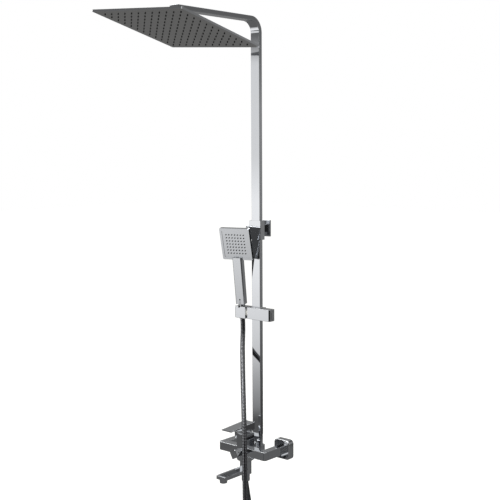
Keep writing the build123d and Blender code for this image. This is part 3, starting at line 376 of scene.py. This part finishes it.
# %% Hose tree: the sweep
sized = add(hose_tree, "GeometryNodeSetCurveRadius", {
    "Curve": sampled.outputs[0], "Radius": swell.outputs[0],
})
marked = add(hose_tree, "GeometryNodeStoreNamedAttribute", {
    "Geometry": sized.outputs[0], "Name": "rib", "Value": wave.outputs[0],
}, domain="POINT")
ring = add(hose_tree, "GeometryNodeCurvePrimitiveCircle", {"Resolution": 20, "Radius": 1.0})
radius = add(hose_tree, "GeometryNodeInputRadius")
tube = add(hose_tree, "GeometryNodeCurveToMesh", {
    "Curve": marked.outputs[0], "Profile Curve": ring.outputs[0], "Scale": radius.outputs[0],
    "Fill Caps": True,
})
finish_tree(hose_tree, tube.outputs[0], result, interlocked_steel)

# %% [markdown]
# The tree runs once, on the hose's line. The result is one closed mesh that stands in for the plain
# tube of the CAD.

# %% Hose piece
hose_tube = grown("hose_tube", hose_line, hose_tree)
bpy.data.objects.remove(hose_line)
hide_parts("hose")
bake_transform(hose_tube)

# %% [markdown]
# ## Spray nozzles
# Both spray faces are a grid of short silicone cones. One tree makes either: a grid of points, one
# small cone at each point, and one move that turns the flat grid to the plate's own tilt. Only the
# numbers differ, so they are the tree's inputs. A cone has 14 sides, because there are 193 of them.

# %% Nozzle tree
nozzle_tree, given, result = new_tree("spray_nozzles", {
    "Rows": ("NodeSocketInt", 12),
    "Span": ("NodeSocketFloat", 0.253),
    "Foot Radius": ("NodeSocketFloat", 0.00212),
    "Tip Radius": ("NodeSocketFloat", 0.0014),
    "Height": ("NodeSocketFloat", 0.0030),
    "Place": ("NodeSocketVector", (0, 0, 0)),
    "Turn": ("NodeSocketRotation", (0, 0, 0)),
})
grid = add(nozzle_tree, "GeometryNodeMeshGrid", {
    "Size X": given.outputs["Span"], "Size Y": given.outputs["Span"],
    "Vertices X": given.outputs["Rows"], "Vertices Y": given.outputs["Rows"],
})
cone = add(nozzle_tree, "GeometryNodeMeshCone", {
    "Vertices": 14, "Side Segments": 1, "Radius Top": given.outputs["Tip Radius"],
    "Radius Bottom": given.outputs["Foot Radius"], "Depth": given.outputs["Height"],
})
shaded = add(nozzle_tree, "GeometryNodeSetShadeSmooth", {
    "Geometry": cone.outputs["Mesh"], "Shade Smooth": False,
})
spread = add(nozzle_tree, "GeometryNodeInstanceOnPoints", {
    "Points": grid.outputs["Mesh"], "Instance": shaded.outputs[0],
})
moved = add(nozzle_tree, "GeometryNodeTransform", {
    "Geometry": spread.outputs[0], "Translation": given.outputs["Place"],
    "Rotation": given.outputs["Turn"],
})
finish_tree(nozzle_tree, moved.outputs[0], result, nozzle_silicone)

# %% [markdown]
# ## Where the two spray faces are
# The overhead plate hangs on a ball joint and is tipped a little; the hand shower leans in its
# holder. Each is a turn about X, then Y, then Z. The nozzles' cones point up in their own space, so
# the last turn tips them to point out of the face. The trees need an object to run on, and one
# empty mesh, the seed, serves them all.

# %% Place the nozzles
def turned(x, y, z):
    """A turn about X, then about the turned Y, then about the turned Z, in degrees."""
    return (
        Matrix.Rotation(radians(x), 3, "X") @ Matrix.Rotation(radians(y), 3, "Y")
        @ Matrix.Rotation(radians(z), 3, "Z")
    )


seed = bpy.data.objects.new("seed", bpy.data.meshes.new("seed"))
bpy.context.scene.collection.objects.link(seed)
BALL_CENTRE = Vector((0, -0.330, 1.150))
BALL_TO_NOZZLES = 0.0190
plate_turn = turned(-12.4, 3.3, 3.2)
plate_out = plate_turn @ Matrix.Rotation(pi, 3, "X")
plate_place = BALL_CENTRE + plate_turn @ Vector((0, 0, -BALL_TO_NOZZLES))
overhead_nozzles = grown("overhead_nozzles", seed, nozzle_tree, {
    "Place": plate_place, "Turn": plate_out.to_euler(), "Height": 0.0032,
})
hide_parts("nozzle_mat")
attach(overhead_nozzles, "head")

# %% [markdown]
# The hand shower's face leans a further 6 degrees in its own head. Its cones are smaller and closer
# together. Its place is counted from the socket that holds it: up the handle and a little forward.

# %% Hand shower nozzles
SOCKET = Vector((-0.0495, -0.0405, 0.3795))
SOCKET_TO_FACE = Vector((0, -0.007, 0.197))
FACE_LEAN = radians(6.0)
handset_turn = turned(8.6, 2.0, 14.0)
face_place = SOCKET + handset_turn @ SOCKET_TO_FACE
face_turn = handset_turn @ Matrix.Rotation(FACE_LEAN, 3, "X")
handset_nozzles = grown("handset_nozzle_tips", seed, nozzle_tree, {
    "Rows": 7, "Span": 0.054, "Foot Radius": 0.00165, "Tip Radius": 0.0011, "Height": 0.0026,
    "Place": face_place + face_turn @ Vector((0, 0.0010, 0)),
    "Turn": (face_turn @ Matrix.Rotation(pi / 2, 3, "X")).to_euler(),
})
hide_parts("handset_nozzles")
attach(handset_nozzles, "handset")

# %% [markdown]
# ## Threads
# The two unions screw into the wall with G1/2 pipe threads, 14 turns to the inch. The thread is
# cut, so it stands as sharp ridges. A stack of thin rings, one per turn, reads the same as a helix
# at this size and takes far fewer faces.

# %% Thread tree
thread_tree, given, result = new_tree("pipe_thread", {
    "Turns": ("NodeSocketInt", 8),
    "Pitch": ("NodeSocketFloat", 0.001814),
    "Core Radius": ("NodeSocketFloat", 0.01045),
    "Place": ("NodeSocketVector", (0, 0, 0)),
})
circle = add(thread_tree, "GeometryNodeCurvePrimitiveCircle", {
    "Resolution": 40, "Radius": given.outputs["Core Radius"],
})
ridge = add(thread_tree, "GeometryNodeCurvePrimitiveCircle", {"Resolution": 4, "Radius": 0.00045})
one_turn = add(thread_tree, "GeometryNodeCurveToMesh", {
    "Curve": circle.outputs[0], "Profile Curve": ridge.outputs[0],
})
upright_ring = add(thread_tree, "GeometryNodeTransform", {
    "Geometry": one_turn.outputs[0], "Rotation": (pi / 2, 0, 0),
})
step = add(thread_tree, "ShaderNodeCombineXYZ", {"Y": given.outputs["Pitch"]})
stack = add(thread_tree, "GeometryNodeMeshLine", {
    "Count": given.outputs["Turns"], "Start Location": given.outputs["Place"],
    "Offset": step.outputs[0],
}, mode="OFFSET")
rings = add(thread_tree, "GeometryNodeInstanceOnPoints", {
    "Points": stack.outputs[0], "Instance": upright_ring.outputs[0],
})
finish_tree(thread_tree, rings.outputs[0], result, machined_brass)

# %% [markdown]
# The unions stand 75 mm either side of the middle, and the first ridge starts just inside the wall.

# %% Thread pieces
INLET_HALF, FIRST_RIDGE = 0.075, 0.0014
for label, centre in (("left_thread", -INLET_HALF), ("right_thread", INLET_HALF)):
    thread = grown(label, seed, thread_tree, {"Place": (centre, FIRST_RIDGE, 0)})
    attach(thread, "root")

# %% [markdown]
# ## The lock spring
# Behind the slider's button sits a coil spring, round the button's pin. Only a coil can shorten
# without getting thicker, so it is drawn as a spiral of round wire.

# %% Spring tree
spring_tree, given, result = new_tree("coil_spring", {
    "Turns": ("NodeSocketFloat", 6.5),
    "Coil Radius": ("NodeSocketFloat", 0.0046),
    "Wire Radius": ("NodeSocketFloat", 0.00045),
    "Length": ("NodeSocketFloat", 0.0216),
    "Place": ("NodeSocketVector", (0, 0, 0)),
})
spiral = add(spring_tree, "GeometryNodeCurveSpiral", {
    "Resolution": 24, "Rotations": given.outputs["Turns"],
    "Start Radius": given.outputs["Coil Radius"], "End Radius": given.outputs["Coil Radius"],
    "Height": given.outputs["Length"],
})
wire = add(spring_tree, "GeometryNodeCurvePrimitiveCircle", {
    "Resolution": 8, "Radius": given.outputs["Wire Radius"],
})
coil = add(spring_tree, "GeometryNodeCurveToMesh", {
    "Curve": spiral.outputs[0], "Profile Curve": wire.outputs[0], "Fill Caps": True,
})
lying = add(spring_tree, "GeometryNodeTransform", {
    "Geometry": coil.outputs[0], "Translation": given.outputs["Place"],
    "Rotation": (0, pi / 2, 0),
})
finish_tree(spring_tree, lying.outputs[0], result, drawn_steel)

# %% [markdown]
# The spring's place comes from the plain tube that stands for it in the CAD: its middle gives the
# spring's axis, and its two ends say where the wire starts and stops.

# %% Spring piece
END_ROOM = 0.0005  # about the wire's own radius, so that its ends stay inside the tube's
near, far = (Vector(corner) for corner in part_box("lock_spring"))
middle = (near + far) / 2
spring = grown("lock_coil", seed, spring_tree, {
    "Length": far.x - near.x - 2 * END_ROOM,
    "Place": Vector((near.x + END_ROOM, middle.y, middle.z)),
})
bpy.data.objects.remove(seed)
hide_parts("lock_spring")
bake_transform(spring)

# %% [markdown]
# ## The room that the chrome shows
# A mirror needs something to reflect. The floor and the air are pale and even, and the camera sees
# only them. Cards stand where the chrome looks, and the camera does not see them. The bright front
# card fades towards its head and its foot, and gives the riser its shading. Darker cards stand to
# the sides and behind, a grey sheet lies just above the floor for the underside of the plate, and
# a bright strip overhead draws the thin white lines along rounded edges.

# %% Floor and card paint
def paper(name, colour, glow):
    """A matt white paper. The faint glow of its own keeps it white where the light thins out."""
    material = bpy.data.materials.new(name)
    material.use_nodes = True
    shader = material.node_tree.nodes["Principled BSDF"]
    shader.inputs["Base Color"].default_value = linear(colour)
    shader.inputs["Roughness"].default_value = 0.9
    shader.inputs["Specular IOR Level"].default_value = 0.0
    shader.inputs["Emission Color"].default_value = linear(colour)
    shader.inputs["Emission Strength"].default_value = glow
    return material


def lit_card(name, *stops):
    """A card whose glow follows its height: each stop is a height in metres and a strength."""
    material = bpy.data.materials.new(name)
    material.use_nodes = True
    tree = material.node_tree
    tree.nodes.clear()
    foot, head = stops[0][0], stops[-1][0]
    place = add(tree, "ShaderNodeTexCoord").outputs["Object"]
    height = add(tree, "ShaderNodeSeparateXYZ", {"Vector": place}).outputs["Z"]
    share = add(tree, "ShaderNodeMapRange", {"Value": height, "From Min": foot, "From Max": head})
    ramp = add(tree, "ShaderNodeValToRGB", {"Fac": share.outputs["Result"]})
    while len(ramp.color_ramp.elements) < len(stops):
        ramp.color_ramp.elements.new(0.5)
    for element, (level, strength) in zip(ramp.color_ramp.elements, stops):
        element.position = (level - foot) / (head - foot)
        element.color = (strength, strength, strength, 1)
    glow = add(tree, "ShaderNodeEmission", {"Color": ramp.outputs["Color"]})
    add(tree, "ShaderNodeOutputMaterial", {"Surface": glow.outputs["Emission"]})
    return material


# %% [markdown]
# A card is four corners and a paint. Only mirror-like rays find the cards, so they do not light
# the floor and cast no shadow. Each upright card is given by its two ends on the ground.

# %% Panels
def panel(name, corners, material, seen):
    """A flat panel through four corners: seen, as the floor is, or there only to be reflected."""
    mesh = bpy.data.meshes.new(name)
    mesh.from_pydata(corners, [], [(0, 1, 2, 3)])
    mesh.materials.append(material)
    sheet = bpy.data.objects.new(name, mesh)
    bpy.context.scene.collection.objects.link(sheet)
    sheet.visible_camera = sheet.visible_shadow = sheet.visible_diffuse = seen
    sheet.visible_glossy = not seen


def wall(name, left, right, low, high, material):
    """An upright card between two places on the ground, from height low to height high."""
    (x0, y0), (x1, y1) = left, right
    panel(name, [(x0, y0, low), (x1, y1, low), (x1, y1, high), (x0, y0, high)], material, False)


# %% [markdown]
# The floor is 0.75 m below the inlets, under the loop of the hose. The front card's stops are
# heights in metres and strengths: brightest where the middle of the riser looks, about a tenth of
# that at its foot, and dark again above 1.4 m, so that the arm's end is not too bright.

# %% Floor, sheet and front card
FLOOR = -0.75
REACH = 20.0


def lying_square(name, height, material, seen):
    """A level square of the same reach as the floor, at a height."""
    corners = [(-REACH, -REACH), (REACH, -REACH), (REACH, REACH), (-REACH, REACH)]
    panel(name, [(x, y, height) for x, y in corners], material, seen)


lying_square("floor", FLOOR, paper("white_paper", "f4f4f2", 0.16), True)
lying_square("grey_sheet", FLOOR + 0.01, lit_card("grey_sheet", (0, 0.15), (1, 0.15)), False)
front_paint = lit_card(
    "front_paint", (-0.74, 0.13), (-0.6, 0.11), (-0.54, 0.3), (-0.44, 0.44), (-0.36, 0.56),
    (-0.26, 0.78), (-0.16, 0.9), (0.2, 1.17), (0.56, 1.22), (0.8, 0.95), (1.28, 0.93),
    (1.36, 0.4), (1.42, 0.17), (3.2, 0.14),
)
wall("front_card", (-2.6, -0.9), (-0.75, -2.6), -0.74, 3.2, front_paint)

# %% [markdown]
# The side card is what right-hand faces show, and it darkens towards the floor. The left, back and
# gap cards close the room behind the column. The dark card stands behind the camera, and is what
# shows in the middle of everything round. The small bounce card stands low in front, where the
# hand shower's face looks.

# %% Side, back and dark cards
side_paint = lit_card(
    "side_paint", (-0.75, 0.05), (-0.5, 0.08), (0, 0.2), (1.05, 0.32), (1.35, 0.18),
    (1.6, 0.14), (3.2, 0.14),
)
back_paint = lit_card("back_paint", (0, 0.17), (2, 0.32))
left_paint = lit_card("left_paint", (0, 0.06), (2, 0.12))
gap_paint = lit_card("gap_paint", (0, 0.05), (2, 0.07))
dark_paint = lit_card("dark_paint", (0, 0.02), (2, 0.05))
bounce_paint = lit_card("bounce_paint", (-0.3, 0.66), (0.1, 1.0))
wall("side_card", (0.5, 3.0), (3.0, 0.5), FLOOR, 3.2, side_paint)
wall("back_card", (-4.5, 2.2), (-0.4, 3.6), FLOOR, 3.4, back_paint)
wall("left_card", (-2.6, -0.9), (-4.5, 2.2), FLOOR, 3.4, left_paint)
wall("gap_card", (-0.4, 3.6), (0.5, 3.0), FLOOR, 3.4, gap_paint)
wall("dark_card", (0.3, -3.6), (3.8, -0.3), FLOOR, 2.2, dark_paint)
wall("bounce_card", (-0.62, -1.15), (-0.06, -1.3), -0.34, 0.12, bounce_paint)

# %% [markdown]
# The strip hangs up and to the left, in the direction that the rounding of a front top edge looks.
# It is several times as bright as the front card, because a rounding is only about 1 mm wide.

# %% Strip overhead
STRIP_HEIGHT = 2.9
strip_corners = [(-3.4, -1.3), (-1.2, -1.3), (-1.2, 0.3), (-3.4, 0.3)]
strip_paint = lit_card("strip_paint", (0, 4.0), (3, 4.0))
panel("strip_card", [(x, y, STRIP_HEIGHT) for x, y in strip_corners], strip_paint, False)

# %% [markdown]
# ## Light
# Chrome shows light mostly as reflections, so two soft boxes are enough: a large one above and in
# front, and a smaller one on the left. They also light the rubber and plastic. The air is plain
# white, which gives an even, pale surrounding with no horizon.

# %% Lights
def soft_box(name, place, aim, size, power):
    """A square area light at a place, turned towards a point."""
    light = bpy.data.lights.new(name, "AREA")
    light.shape, light.size, light.energy = "SQUARE", size, power
    box = bpy.data.objects.new(name, light)
    bpy.context.scene.collection.objects.link(box)
    box.location = place
    box.rotation_euler = (Vector(aim) - Vector(place)).to_track_quat("-Z", "Y").to_euler()


soft_box("key_light", (-0.6, -2.2, 3.4), (0, -0.1, 0.5), 1.4, 55)
soft_box("fill_light", (-3.0, 0.4, 2.2), (0, -0.1, 0.4), 1.0, 18)
air = bpy.data.worlds.new("air")
air.use_nodes = True
air.node_tree.nodes["Background"].inputs["Color"].default_value = linear("ffffff")
air.node_tree.nodes["Background"].inputs["Strength"].default_value = 1.0
bpy.context.scene.world = air
bpy.context.scene.view_settings.view_transform = "Standard"
